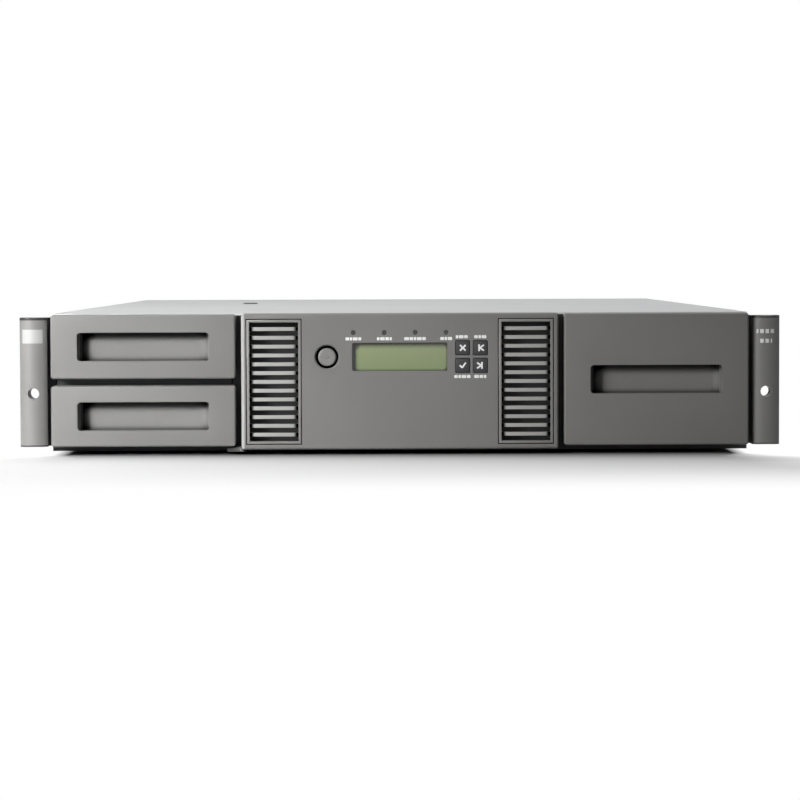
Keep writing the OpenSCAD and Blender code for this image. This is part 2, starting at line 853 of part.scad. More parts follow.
// A tray with outer wall and ends, open towards the aisle
module magazine_case(has_mail) {
    front_top = has_mail ? mail_z - slide_gap : case_top;
    difference() {
        union() {
            // bottom, top and outer wall
            span([case_in, flange_y, case_z], [case_out, cells_end + case_t, cell_z]);
            span([case_in, flange_y, cells_top], [case_out, cells_end + case_t, case_top]);
            span([case_out - case_t, flange_y, case_z], [case_out, cells_end + case_t, case_top]);
            // back end and the wall in front of the first cells
            span([case_in, cells_end, case_z], [case_out, cells_end + case_t, case_top]);
            span([case_in, cells_y - case_t, case_z], [case_out, cells_y, front_top]);
            // the flange that carries the front panel, and its inner side
            span([case_in, flange_y, case_z], [case_out, flange_y + case_t, front_top]);
            span([case_in, flange_y, case_z], [case_in + case_t, cells_y, front_top]);
        }
        // windows in the outer wall
        for (column = [0:columns - 1], row = [0:rows - 1])
            translate([0, column_y(column) + cell_w / 2, row_z(row) + cell_h / 2])
                along_x(case_out - case_t - past, case_out + past)
                    polygon(round_rect(window_w, window_h, 2, 3));
    }
}

// Plates between the columns, thinner at their noses to lead a cartridge in
module magazine_dividers() {
    nose = 6;
    for (column = [1:columns - 1])
        translate([0, column_y(column) - divider_t / 2, 0]) along_z(cell_z, cells_top)
            polygon([[case_in, -divider_t / 5], [case_in + nose, -divider_t / 2],
                [case_out - case_t, -divider_t / 2], [case_out - case_t, divider_t / 2],
                [case_in + nose, divider_t / 2], [case_in, divider_t / 5]]);
}

// Plates between the rows, notched at the middle of their front edge
module magazine_shelves(has_mail) {
    notch_w = 24;
    notch_d = 10;
    for (column = [0:columns - 1], row = [1:rows - 1])
        if (!(has_mail && column == 0 && row == rows - 1))
            translate([0, column_y(column), 0]) along_z(row_z(row) - shelf_t, row_z(row))
                polygon([[case_in, 0], [case_out - case_t, 0], [case_out - case_t, cell_w],
                    [case_in, cell_w], [case_in, (cell_w + notch_w) / 2],
                    [case_in + notch_d, (cell_w + notch_w) / 2 - 4],
                    [case_in + notch_d, (cell_w - notch_w) / 2 + 4], [case_in, (cell_w - notch_w) / 2]]);
    // the mail slot's runway has no notch
    if (has_mail)
        span([case_in, cells_y, mail_z - shelf_t], [case_out - case_t, cells_y + cell_w, mail_z]);
}

// Bowed leaf springs behind the cartridges
module magazine_springs(has_mail) {
    bow_r = (spring_l * spring_l / 4 + spring_bow * spring_bow) / (2 * spring_bow);
    half = asin(spring_l / 2 / bow_r);
    wall = case_out - case_t;
    for (column = [0:columns - 1], row = [0:rows - 1])
        if (!(has_mail && column == 0 && row == rows - 1))
            translate([0, column_y(column) + cell_w / 2, 0])
                along_z(row_z(row) + (cell_h - spring_h) / 2, row_z(row) + (cell_h + spring_h) / 2)
                    intersection() {
                        polygon(concat(
                            arc(wall + bow_r - spring_bow, 0, bow_r, 180 - half - 3, 180 + half + 3, 10),
                            arc(wall + bow_r - spring_bow, 0, bow_r - spring_t, 180 + half + 3,
                                180 - half - 3, 10)));
                        translate([wall - 2 * spring_bow, -spring_l]) square([2 * spring_bow, 2 * spring_l]);
                    }
}

module right_magazine_case() {
    color("darkslategray") magazine_case(false);
}

module right_magazine_dividers() {
    color("darkslategray") magazine_dividers();
}

module right_magazine_shelves() {
    color("darkslategray") magazine_shelves(false);
}

module right_magazine_springs() {
    color("silver") magazine_springs(false);
}

module left_magazine_case() {
    color("darkslategray") mirror([1, 0, 0]) magazine_case(true);
}

module left_magazine_dividers() {
    color("darkslategray") mirror([1, 0, 0]) magazine_dividers();
}

module left_magazine_shelves() {
    color("darkslategray") mirror([1, 0, 0]) magazine_shelves(true);
}

module left_magazine_springs() {
    color("silver") mirror([1, 0, 0]) magazine_springs(true);
}

// One cartridge's tray, with a flange for the mail slot's panel
module mail_slot_tray() {
    low = mail_z + slide_gap;
    floor_top = low + mail_floor_t;
    high = cells_top - slide_gap;
    wall = case_out - case_t - slide_gap;
    back = cells_y + cell_w - slide_gap;
    color("darkslategray") mirror([1, 0, 0]) {
        span([case_in, flange_y, low], [wall, back, floor_top]);
        span([wall - mail_wall_t, flange_y, low], [wall, back, high]);
        span([case_in, cells_y - mail_wall_t, low], [wall, cells_y, high]);
        span([case_in, back - 0.8, low], [wall, back, floor_top + mail_lip_h]);
        span([case_in, flange_y, low], [wall, flange_y + case_t, high]);
        span([case_in, flange_y, low], [case_in + mail_wall_t, cells_y, high]);
    }
}

// ---- robot ----

// Lipped strips that hold the carriage's edges down
module robot_guide_rails() {
    web = base_half + slide_gap;
    web_t = 1.7;
    top = lip_z + lip_t;
    color("silver") both_sides() along_y(tray_y, drive_y)
        polygon([[web, deck_z], [web + web_t, deck_z], [web + web_t, top], [base_half - 3, top],
            [base_half - 3, lip_z], [web, lip_z]]);
}

tooth_w = rack_pitch / 2 - tooth_play / 2;
rack_y0 = robot_y + pinion_y;
rack_first = -4;
rack_last = floor(robot_travel / rack_pitch) + 4;

// A toothed strip beside the carriage's way; a gap faces the resting pinion
module robot_rack() {
    tip = tooth_w / 2 - tooth_module * tan(pressure);
    root = tooth_w / 2 + 1.25 * tooth_module * tan(pressure);
    tip_x = rack_line - tooth_module;
    root_x = rack_line + 1.25 * tooth_module;
    start = rack_y0 + (rack_first - 0.5) * rack_pitch - 2;
    end = rack_y0 + (rack_last + 0.5) * rack_pitch + 2;
    color("ivory") along_z(deck_z, pinion_z + pinion_t) polygon(concat(
        [[rack_back, start], [root_x, start]],
        [for (i = [rack_first:rack_last]) let (y = rack_y0 + (i + 0.5) * rack_pitch)
            each [[root_x, y - root], [tip_x, y - tip], [tip_x, y + tip], [root_x, y + root]]],
        [[root_x, end + 1], [rack_back, end + 1]]));
}

function involute(angle) = tan(angle) * 180 / PI - angle;

// Half of a tooth's angle at radius r
function tooth_half(r) = tooth_w / 2 / pitch_r * 180 / PI + involute(pressure)
    - involute(acos(min(1, pitch_r * cos(pressure) / r)));

module travel_pinion() {
    base_r = pitch_r * cos(pressure);
    root_r = pitch_r - 1.25 * tooth_module;
    tip_r = pitch_r + tooth_module;
    flank = [for (i = [0:4]) base_r + (tip_r - base_r) * i / 4];
    // one tooth as radius and angle, from root to tip and back
    tooth = concat([[root_r, -tooth_half(base_r)]], [for (r = flank) [r, -tooth_half(r)]],
        [for (k = [4:-1:0]) [flank[k], tooth_half(flank[k])]], [[root_r, tooth_half(base_r)]]);
    color("ivory") translate([pinion_x, robot_y + pinion_y, 0]) {
        along_z(pinion_z, pinion_z + pinion_t)
            polygon([for (i = [0:pinion_teeth - 1], p = tooth) let (a = i * 360 / pinion_teeth + p[1])
                [p[0] * cos(a), p[0] * sin(a)]]);
        rod_z(0, 0, pinion_z + pinion_t, bracket_z + bracket_t - 0.1, 2);
    }
}

module at_robot() {
    translate([0, robot_y, 0]) children();
}

// Base plate with four posts and the bracket over the pinion
module robot_carriage() {
    color("silver") at_robot() {
        difference() {
            union() {
                span([-base_half, base_front, base_z], [base_half, base_back, base_z + base_t]);
                span([pinion_x - pitch_r - 14, base_front + 1, base_z],
                    [pinion_x - pitch_r - 4, pinion_y + 8, bracket_z + bracket_t]);
                span([pinion_x - pitch_r - 14, base_front + 1, bracket_z],
                    [pinion_x + motor_w / 2, pinion_y + 8, bracket_z + bracket_t]);
            }
            rod_z(pinion_x, pinion_y, bracket_z - past, bracket_z + bracket_t + past, 2 + shaft_gap);
        }
        for (x = [-1, 1], y = [-1, 1])
            rod_z(x * post_x, y * post_y, base_z + base_t, yoke_z, post_r);
    }
}

// Two bars across the tops of the posts
module carriage_yoke() {
    color("silver") at_robot() {
        span([-post_x - 6, -post_y - 5, yoke_z], [post_x + 6, -post_y + 5, yoke_z + yoke_t]);
        difference() {
            span([-post_x - 6, post_y - 5, yoke_z], [post_x + 6, screw_y + 7, yoke_z + yoke_t]);
            rod_z(screw_x, screw_y, yoke_z - past, yoke_z + yoke_t + past, screw_r + shaft_gap);
        }
    }
}

// The travel motor over the pinion and the lift motor under the screw
module robot_motors() {
    color("dimgray") at_robot() {
        along_z(bracket_z + bracket_t, bracket_z + bracket_t + motor_h) translate([pinion_x, pinion_y - 1])
            polygon(round_rect(motor_w, 17, 3, 3));
        difference() {
            along_z(base_z + base_t, base_z + base_t + motor_h) translate([screw_x, screw_y])
                polygon(round_rect(motor_w, motor_w, 3, 3));
            rod_z(screw_x, screw_y, base_z + base_t + motor_h - 3, base_z + base_t + motor_h + past,
                screw_r + shaft_gap);
        }
    }
}

module lift_screw() {
    color("lightgray") at_robot()
        rod_z(screw_x, screw_y, base_z + base_t + motor_h - 3 + slide_gap, yoke_z + yoke_t, screw_r);
}

// A bridge over the picker; bushes run on the posts, a nut on the lift screw
module lift_frame() {
    bush_l = 8;
    nut_r = 6;
    color("darkgray") at_robot() difference() {
        union() {
            along_z(bridge_z, bridge_top) translate([0, (base_back - 5 - post_y - 6) / 2])
                polygon(round_rect(2 * post_x + 12, post_y + 6 + base_back - 5, 6, 4));
            for (x = [-1, 1], y = [-1, 1])
                rod_z(x * post_x, y * post_y, bridge_z - bush_l, bridge_top, post_r + 3);
            rod_z(screw_x, screw_y, bridge_z - bush_l, bridge_top, nut_r);
        }
        for (x = [-1, 1], y = [-1, 1])
            rod_z(x * post_x, y * post_y, bridge_z - bush_l - past, bridge_top + past, post_r + shaft_gap);
        rod_z(screw_x, screw_y, bridge_z - bush_l - past, bridge_top + past, screw_r + shaft_gap);
        rod_z(0, 0, bridge_z - past, bridge_top + past, hub_r + shaft_gap);
    }
}

// A cradle for one cartridge that hangs from its hub, trimmed to the swing
module picker_frame() {
    color("gray") at_robot() {
        intersection() {
            union() {
                span([-wall_out, -picker_half - 2, picker_z], [wall_out, picker_half, picker_deck]);
                span([-wall_out, -picker_half - 2, picker_top],
                    [wall_out, picker_half, picker_top + picker_t]);
                for (side = [-1, 1])
                    span([side > 0 ? wall_in : -wall_out, -picker_half - 2, picker_z],
                        [side > 0 ? wall_out : -wall_in, picker_half, picker_top + picker_t]);
            }
            rod_z(0, 0, 0, total_h, swing_r - swing_gap);
        }
        rod_z(0, 0, picker_top + picker_t, bridge_top + slide_gap, hub_r);
    }
}

module turntable_plate() {
    color("silver") at_robot()
        rod_z(0, 0, bridge_top + slide_gap, bridge_top + slide_gap + hub_cap_t, hub_r + 6);
}

// A scan head on the picker's side, with a slot for its beam
module barcode_reader() {
    color("black") at_robot() difference() {
        span([wall_out, -14, picker_deck + 3], [wall_out + 8, 14, picker_deck + 16]);
        span([wall_out + 6, -10, picker_deck + 7], [wall_out + 8 + past, 10, picker_deck + 12]);
    }
}

// A back plate with two hooked fingers along the cartridge's sides
module gripper() {
    back = -grip_back;
    middle = picker_deck + cartridge_h / 2;
    color("silver") at_robot() {
        span([-finger_out, back, picker_deck + slide_gap],
            [finger_out, back + finger_t, picker_top - slide_gap]);
        both_sides() along_z(middle - 3, middle + 3) polygon([[finger_in, back],
            [finger_out, back], [finger_out, back + finger_l - 1],
            [finger_in, back + finger_l], [finger_in - 1.2, back + finger_l - 2],
            [finger_in - 1.2, back + finger_l - 4], [finger_in, back + finger_l - 5]]);
    }
}

// ---- drive ----

sled_z = deck_z + slide_gap + 0.1;
drive_z = sled_z + sled_t;
opening_half = drive_w / 2 + bay_side_gap + sled_t;
slot_z = row_z(1);

// Two angles on the floor that guide the sled
module drive_bay() {
    wall = drive_w / 2 + bay_side_gap;
    color("silver") both_sides() along_y(drive_y + bay_setback, rear_in) polygon([[wall, deck_z],
        [wall + bay_foot, deck_z], [wall + bay_foot, deck_z + sled_t], [wall + sled_t, deck_z + sled_t],
        [wall + sled_t, deck_z + bay_h], [wall, deck_z + bay_h]]);
}

// The drive, with the mouth for a cartridge at its front
module drive_case() {
    mouth_w = cartridge_w + 4;
    mouth_h = cartridge_h + 3;
    color("darkgray") difference() {
        along_y(drive_y, drive_y + drive_l) translate([0, drive_z + drive_h / 2])
            polygon(round_rect(drive_w, drive_h, 1, 2));
        span([-mouth_w / 2, drive_y - past, slot_z - 1.5], [mouth_w / 2, drive_y + 60, slot_z + mouth_h - 1.5]);
    }
}

// Floor sheet and rear plate of the sled that the drive is screwed to
module drive_sled() {
    plate_y = rear_y + slide_gap;
    low = sled_z;
    high = cover_z - 1.5;
    color("silver") difference() {
        union() {
            span([-drive_w / 2, drive_y + 3, sled_z], [drive_w / 2, plate_y + sled_t, drive_z]);
            span([-opening_half - 6, plate_y, low], [opening_half + 6, plate_y + sled_t, high]);
        }
        // air slots and the cut-out for the drive's connector
        for (x = [-4:4], z = [0, 1])
            translate([x * 14, 0, high - 14 - z * 12]) along_y(plate_y - past, plate_y + sled_t + past)
                polygon(round_rect(10, 5, 2.4, 3));
        span([-48, plate_y - past, low + 8], [-18, plate_y + sled_t + past, low + 18]);
        for (p = thumb_places)
            rod_y(p[0], p[1], plate_y - past, plate_y + sled_t + past, 2 + shaft_gap);
    }
}

thumb_places = [for (x = [-1, 1], z = [sled_z + 9, cover_z - 10.5]) [x * (opening_half - 0.5), z]];

module sled_handle() {
    y0 = rear_y + slide_gap + sled_t;
    z = (sled_z + cover_z) / 2 - 6;
    bar_y = rear_y + rear_proj - handle_r;
    color("gray") {
        for (side = [-1, 1])
            rod_y(side * (handle_w / 2 - handle_r), z, y0, bar_y, handle_r);
        along_x(-handle_w / 2, handle_w / 2) translate([bar_y, z]) circle(handle_r);
    }
}

// Knurled screws; their shanks pass the sled's plate
module sled_thumbscrews() {
    y0 = rear_y + slide_gap + sled_t;
    color("steelblue") for (p = thumb_places) {
        rod_y(p[0], p[1], rear_y + slide_gap, y0 + 1, 2);
        translate([p[0], y0, p[1]]) rotate([-90, 0, 0])
            linear_extrude(thumb_l) polygon([for (i = [0:35]) let (r = thumb_r - (i % 2) * 0.35)
                [r * cos(i * 10), r * sin(i * 10)]]);
    }
}

// ---- rear ----

supply_in = side_in - 3 - supply_w;
inlet_x = -side_in + 3 + 34;
inlet_z = deck_z + supply_h / 2;
inlet_w = 27;
inlet_h = 19.5;
inlet_d = 17;
board_x0 = side_in - 3 - controller_w;
board_z = deck_z + controller_h;
port_z = board_z + board_t;
port_d = 21;
fan_x = side_in - 10 - fan_w / 2;
fan_z = cover_z - 2.4 - fan_w / 2;
// each port: its middle, width and height
ports = [[board_x0 + 14, 16, 13.4], [board_x0 + 38, 14, 7.2], [board_x0 + 66, 31, 12.4]];

module rear_panel() {
    color("silver") difference() {
        span([-side_out, rear_in, tray_z], [side_out, rear_y, cover_z]);
        // the drive's opening reaches up to the top cover
        span([-opening_half, rear_in - past, deck_z - 0.2], [opening_half, rear_y + past, cover_z + past]);
        span([inlet_x - inlet_w / 2, rear_in - past, inlet_z - inlet_h / 2],
            [inlet_x + inlet_w / 2, rear_y + past, inlet_z + inlet_h / 2]);
        rod_y(fan_x, fan_z, rear_in - past, rear_y + past, fan_w / 2 - 2);
        for (port = ports)
            span([port[0] - port[1] / 2 - key_gap, rear_in - past, port_z - key_gap],
                [port[0] + port[1] / 2 + key_gap, rear_y + past, port_z + port[2] + key_gap]);
        // air slots over the power supply
        for (i = [0:8], row = [0:3])
            translate([-side_in + 14 + i * 10.5, 0, deck_z + supply_h + 9 + row * 8])
                along_y(rear_in - past, rear_y + past) polygon(round_rect(7.5, 4, 1.9, 3));
    }
}

module power_supply() {
    color("silver") difference() {
        span([-side_in + 3, rear_in - supply_l, deck_z], [-supply_in, rear_in, deck_z + supply_h]);
        span([inlet_x - inlet_w / 2 - slide_gap, rear_y - inlet_d - slide_gap, inlet_z - inlet_h / 2 - slide_gap],
            [inlet_x + inlet_w / 2 + slide_gap, rear_in + past, inlet_z + inlet_h / 2 + slide_gap]);
    }
}

// A mains inlet: flange, socket with cut corners and three flat blades
module power_inlet() {
    socket_w = 24.4;
    socket_h = 16.4;
    cut = 5;
    color("black") translate([inlet_x, 0, inlet_z]) {
        difference() {
            union() {
                along_y(rear_y, rear_y + 2) polygon(round_rect(50, 24, 6, 4));
                span([-inlet_w / 2, rear_y - inlet_d, -inlet_h / 2], [inlet_w / 2, rear_y, inlet_h / 2]);
            }
            along_y(rear_y - inlet_d + 1.5, rear_y + 2 + past) polygon([[-socket_w / 2, -socket_h / 2],
                [socket_w / 2, -socket_h / 2], [socket_w / 2, socket_h / 2 - cut],
                [socket_w / 2 - cut, socket_h / 2], [-socket_w / 2 + cut, socket_h / 2],
                [-socket_w / 2, socket_h / 2 - cut]]);
            for (x = [-20, 20])
                rod_y(x, 0, rear_y - past, rear_y + 2 + past, 1.6);
        }
        for (blade = [[-7, -2], [0, 2], [7, -2]])
            translate([blade[0], 0, blade[1]]) span([-1, rear_y - inlet_d + 1.5, -2.5],
                [1, rear_y - 1, 2.5]);
    }
}

module controller_board() {
    color("darkgreen") {
        span([board_x0, rear_in - controller_l, board_z], [board_x0 + controller_w, rear_in, port_z]);
        for (x = [0.06, 0.94], y = [0.04, 0.86])
            rod_z(board_x0 + x * controller_w, rear_in - (1 - y) * controller_l, deck_z, board_z, boss_r);
        // the processor, the memory and a capacitor
        for (chip = [[0.2, 0.3, 0.25, 0.15, 1.2], [0.58, 0.2, 0.14, 0.18, 0.8], [0.22, 0.55, 0.12, 0.15, 5]])
            span([board_x0 + chip[0] * controller_w, rear_in - (1 - chip[1]) * controller_l, port_z],
                [board_x0 + (chip[0] + chip[2]) * controller_w,
                    rear_in - (1 - chip[1] - chip[3]) * controller_l, port_z + chip[4] * board_t]);
    }
}

// A network jack, a small bus port and a nine-way serial shell
module io_ports() {
    y0 = rear_in - port_d;
    y1 = rear_y + 0.8;
    color("lightgray") {
        for (i = [0:2]) {
            port = ports[i];
            hole_w = [11.8, 12, 17][i];
            hole_h = [7, 4.6, 8.4][i];
            mid = port_z + port[2] / 2;
            difference() {
                span([port[0] - port[1] / 2, y0, port_z], [port[0] + port[1] / 2, y1, port_z + port[2]]);
                span([port[0] - hole_w / 2, y1 - 13, mid - hole_h / 2],
                    [port[0] + hole_w / 2, y1 + past, mid + hole_h / 2]);
            }
        }
    }
}

module fan_housing() {
    y0 = rear_in - fan_t;
    color("black") translate([fan_x, 0, fan_z]) difference() {
        union() {
            difference() {
                along_y(y0, rear_in) polygon(round_rect(fan_w, fan_w, 4, 4));
                rod_y(0, 0, y0 - past, rear_in + past, fan_w / 2 - 1.5);
                for (x = [-1, 1], z = [-1, 1])
                    rod_y(x * (fan_w / 2 - 5), z * (fan_w / 2 - 5), y0 - past, rear_in + past, 2.1);
            }
            // the motor's seat on four struts
            rod_y(0, 0, y0, y0 + 3, fan_hub_r + 1);
            for (a = [45:90:315])
                rotate([0, a, 0]) span([fan_hub_r, y0, -1.5], [fan_w / 2 - 1, y0 + 3, 1.5]);
        }
        rod_y(0, 0, y0 + 0.6, y0 + 3 + past, 1.5 + shaft_gap);
    }
}

module fan_rotor() {
    y0 = rear_in - fan_t;
    tip = fan_w / 2 - 2.5;
    cup = fan_t - 5;
    color("black") translate([fan_x, 0, fan_z]) {
        rod_y(0, 0, y0 + 1, y0 + 4, 1.5);
        rod_y(0, 0, y0 + 3.5, y0 + cup, fan_hub_r);
        intersection() {
            for (i = [0:fan_blades - 1])
                rotate([0, i * 360 / fan_blades, 0]) translate([0, y0 + 2 + cup / 2, 0]) rotate([0, 0, blade_angle])
                    span([-fan_t / 3, -0.6, fan_hub_r - 2], [fan_t / 3, 0.6, tip + 4]);
            rod_y(0, 0, y0 + 4, y0 + cup, tip);
        }
    }
}

// Wire rings and spokes over the fan's outlet
module fan_guard() {
    wire = guard_t;
    color("silver") translate([fan_x, 0, fan_z]) {
        for (r = [fan_hub_r - 2:guard_pitch:fan_w / 2 - 2])
            difference() {
                rod_y(0, 0, rear_y, rear_y + wire, r);
                rod_y(0, 0, rear_y - past, rear_y + wire + past, r - wire);
            }
        for (a = [45, 135])
            rotate([0, a, 0]) span([-fan_w / 2 - 2, rear_y, -wire / 2], [fan_w / 2 + 2, rear_y + wire, wire / 2]);
    }
}

chassis_tray();
top_cover();
cover_plug();
cover_screws();
rear_panel();
front_frame();
feet();
left_rack_ear();
right_rack_ear();
left_ear_cover();
right_ear_cover();
control_panel();
left_vent_grille();
right_vent_grille();
lcd_glass();
lcd_module();
status_lamps();
panel_board();
power_button();
cancel_key();
previous_key();
next_key();
enter_key();
magazine_rails();
left_magazine_case();
left_magazine_dividers();
left_magazine_shelves();
left_magazine_springs();
left_magazine_bezel();
mail_slot_tray();
mail_slot_bezel();
right_magazine_case();
right_magazine_dividers();
right_magazine_shelves();
right_magazine_springs();
right_magazine_bezel();
robot_guide_rails();
robot_rack();
robot_carriage();
carriage_yoke();
robot_motors();
travel_pinion();
lift_screw();
lift_frame();
picker_frame();
turntable_plate();
barcode_reader();
gripper();
drive_bay();
drive_case();
drive_sled();
sled_handle();
sled_thumbscrews();
power_supply();
power_inlet();
controller_board();
io_ports();
fan_housing();
fan_rotor();
fan_guard();
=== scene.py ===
"""Studio scene of the rack tape library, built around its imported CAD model."""
import json
import math

import bmesh
import bpy
from mathutils import Matrix, Vector


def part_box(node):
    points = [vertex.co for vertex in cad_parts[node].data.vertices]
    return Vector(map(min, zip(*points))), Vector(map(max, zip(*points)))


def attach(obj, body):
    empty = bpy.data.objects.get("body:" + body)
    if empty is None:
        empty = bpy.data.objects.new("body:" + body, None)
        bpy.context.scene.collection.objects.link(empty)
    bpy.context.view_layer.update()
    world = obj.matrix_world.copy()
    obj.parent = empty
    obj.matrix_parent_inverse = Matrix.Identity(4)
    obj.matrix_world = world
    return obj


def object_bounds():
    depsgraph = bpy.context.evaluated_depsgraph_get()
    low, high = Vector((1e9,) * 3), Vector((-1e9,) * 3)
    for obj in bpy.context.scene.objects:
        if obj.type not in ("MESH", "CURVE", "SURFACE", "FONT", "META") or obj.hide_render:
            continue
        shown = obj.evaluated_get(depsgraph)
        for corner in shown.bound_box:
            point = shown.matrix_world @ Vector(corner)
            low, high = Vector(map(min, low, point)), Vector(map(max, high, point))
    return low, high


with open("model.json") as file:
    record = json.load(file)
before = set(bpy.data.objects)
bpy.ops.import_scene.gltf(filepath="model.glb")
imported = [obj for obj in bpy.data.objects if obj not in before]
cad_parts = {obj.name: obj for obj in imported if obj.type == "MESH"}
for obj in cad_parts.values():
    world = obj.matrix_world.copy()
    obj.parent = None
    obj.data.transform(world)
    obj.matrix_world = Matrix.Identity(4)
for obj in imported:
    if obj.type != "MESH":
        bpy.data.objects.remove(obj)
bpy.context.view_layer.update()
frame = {"nodes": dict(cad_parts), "record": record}
LOW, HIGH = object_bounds()
NODES = frame["nodes"]
FRONT = LOW.y
MM = 0.001
scene = bpy.context.scene

# ---- camera: a long lens a little above the top, turned and rolled slightly as in the photo ----

CAMERA_AWAY = 1.79
CAMERA_HEIGHT = 0.120
CAMERA_PITCH = math.radians(2.73)
CAMERA_YAW = math.radians(0.24)
CAMERA_ROLL = math.radians(0.2)
CAMERA_LENS = 127.2
camera = bpy.data.objects.new("camera", bpy.data.cameras.new("camera"))
scene.collection.objects.link(camera)
camera.location = (-CAMERA_AWAY * math.tan(CAMERA_YAW), FRONT - CAMERA_AWAY, CAMERA_HEIGHT)
yaw = Matrix.Rotation(-CAMERA_YAW, 3, "Z")
pitch = Matrix.Rotation(math.pi / 2 - CAMERA_PITCH, 3, "X")
roll = Matrix.Rotation(-CAMERA_ROLL, 3, "Z")
camera.rotation_euler = (yaw @ pitch @ roll).to_euler()
camera.data.sensor_width = 36
camera.data.lens = CAMERA_LENS
camera.data.clip_start = 0.05
camera.data.clip_end = 60
scene.camera = camera
scene.view_settings.view_transform = "Standard"

# ---- node helpers ----

BLACK = (0, 0, 0, 1)
WHITE = (1, 1, 1, 1)
TOWARD_LIGHT = (-0.5, -0.75, 0.42)


class Nodes:
    """A small helper that builds a node tree from short calls."""

    def __init__(self, tree):
        self.tree = tree

    def put(self, value, socket):
        """Link another node's socket, or set a plain value."""
        if isinstance(value, bpy.types.NodeSocket):
            self.tree.links.new(value, socket)
        else:
            socket.default_value = value

    def add(self, kind, inputs=None, **settings):
        node = self.tree.nodes.new(kind)
        for key, value in settings.items():
            setattr(node, key, value)
        for key, value in (inputs or {}).items():
            self.put(value, node.inputs[key])
        return node

    def math(self, operation, a, b=0.0, c=0.0):
        node = self.add("ShaderNodeMath", operation=operation)
        for value, socket in zip((a, b, c), node.inputs):
            self.put(value, socket)
        return node.outputs[0]

    def product(self, first, *others):
        for other in others:
            first = self.math("MULTIPLY", first, other)
        return first

    def span(self, value, low, high, to_low, to_high, **settings):
        return self.add("ShaderNodeMapRange", {"Value": value, "From Min": low, "From Max": high,
            "To Min": to_low, "To Max": to_high}, **settings).outputs[0]

    def mix(self, factor, a, b, blend="MIX"):
        node = self.add("ShaderNodeMix", data_type="RGBA", blend_type=blend)
        for value, socket in ((factor, node.inputs[0]), (a, node.inputs[6]), (b, node.inputs[7])):
            self.put(value, socket)
        return node.outputs[2]


class Surface(Nodes):
    """The nodes of one material, in the object's own coordinates: those of the CAD frame."""

    def __init__(self, name):
        self.material = bpy.data.materials.new(name)
        self.material.use_nodes = True
        super().__init__(self.material.node_tree)
        self.bsdf = self.tree.nodes["Principled BSDF"]
        self.coords = self.add("ShaderNodeTexCoord").outputs["Object"]
        self.x, self.y, self.z = self.add("ShaderNodeSeparateXYZ", {"Vector": self.coords}).outputs

    def set(self, socket, value):
        self.put(value, self.bsdf.inputs[socket])

    def mapped(self, scale):
        return self.add("ShaderNodeMapping", {"Vector": self.coords, "Scale": scale}).outputs[0]

    def noise(self, size, detail=3.0, rough=0.5, vector=None):
        """Noise whose grains are about size metres across."""
        return self.add("ShaderNodeTexNoise", {"Vector": vector or self.coords, "Scale": 1 / size,
            "Detail": detail, "Roughness": rough}).outputs["Fac"]

    def bump(self, height, strength, distance, normal=None):
        inputs = {"Height": height, "Strength": strength, "Distance": distance}
        if normal:
            inputs["Normal"] = normal
        return self.add("ShaderNodeBump", inputs).outputs[0]

    def facing(self):
        """The Y part of a face's direction: -1 on faces that look to the front."""
        normal = self.add("ShaderNodeNewGeometry").outputs["True Normal"]
        return self.add("ShaderNodeSeparateXYZ", {"Vector": normal}).outputs[1]

    def open_sky(self, reach, **inputs):
        """How open a place is within a reach: 1 in the open, 0 deep in a corner."""
        return self.add("ShaderNodeAmbientOcclusion", {"Distance": reach, **inputs}, samples=12).outputs["AO"]

    def clear_of_walls(self, reach):
        """1 in the open, 0 deep in corners and close to walls that shade from the upper left."""
        lean = self.add("ShaderNodeCombineXYZ", dict(zip("XYZ", TOWARD_LIGHT))).outputs[0]
        lit = self.span(self.open_sky(reach, Normal=lean), 0.42, 0.80, 0, 1)
        near = self.span(self.open_sky(reach / 2), 0.3, 0.85, 0, 1)
        side_wall = self.span(self.math("ABSOLUTE", self.facing()), 0.5, 0.8, 1, 0)
        return self.product(self.math("MAXIMUM", lit, side_wall), near)


def shade(color, factor):
    return (color[0] * factor, color[1] * factor, color[2] * factor, 1.0)


# ---- masks: where a surface has another tone, some of them painted highlights and painted shade ----

# Where the painted edge highlight lies, between the mail slot bezel and the left vent
STRIP_START = 2.0 * MM
STRIP_RISE = 0.4 * MM
STRIP_FALL = 0.8 * MM
STRIP_CLEAR = 0.4 * MM
# Where the vent's inside is painted dark as shade and the louvre fronts carry a painted highlight
VENT_FACE = 0.25 * MM
LOUVRE_END = 4.0 * MM
LOUVRE_FADE = 1.6 * MM
EAR_TOP_DARK = 1.5 * MM
EAR_LOW_DARK = 0.8 * MM
EAR_FADE = 0.3 * MM
# Shares of an ear cover's width and height: x from, x to, z from, z to
EAR_PATCH = (0.10, 0.86, 0.80, 0.91)
EAR_ROWS = ((0.14, 0.84, 0.86, 0.895), (0.26, 0.72, 0.785, 0.82))
EAR_DASH_SCALE = 95.0


def painted_edge_highlight(n):
    """1 on the strip between the left panels and the left vent, where a highlight of the key lamp on the
    panel's edge is painted.
    """
    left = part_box("mail_slot_bezel")[1].x + STRIP_START
    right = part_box("left_vent_grille")[0].x - STRIP_CLEAR
    return n.product(n.span(n.x, left, left + STRIP_RISE, 0, 1), n.span(n.x, right - STRIP_FALL, right, 1, 0))


def vent_depth(n):
    """1 behind the face of the vent's rim, where the vent's inside is painted near black as shade."""
    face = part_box("right_vent_grille")[0].y
    return n.span(n.y, face + VENT_FACE, face + 2 * VENT_FACE, 0, 1)


def louvre_painted_highlight(n):
    """1 on the front of the louvres, clear of the opening's sides, where a highlight is painted."""
    low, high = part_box("right_vent_grille")
    aside = n.math("ABSOLUTE", n.x)
    inner = n.span(aside, low.x + LOUVRE_END, low.x + LOUVRE_END + LOUVRE_FADE, 0, 1)
    outer = n.span(aside, high.x - LOUVRE_END - LOUVRE_FADE, high.x - LOUVRE_END, 1, 0)
    return n.product(vent_depth(n), inner, outer, n.span(n.facing(), -0.8, -0.4, 1, 0))


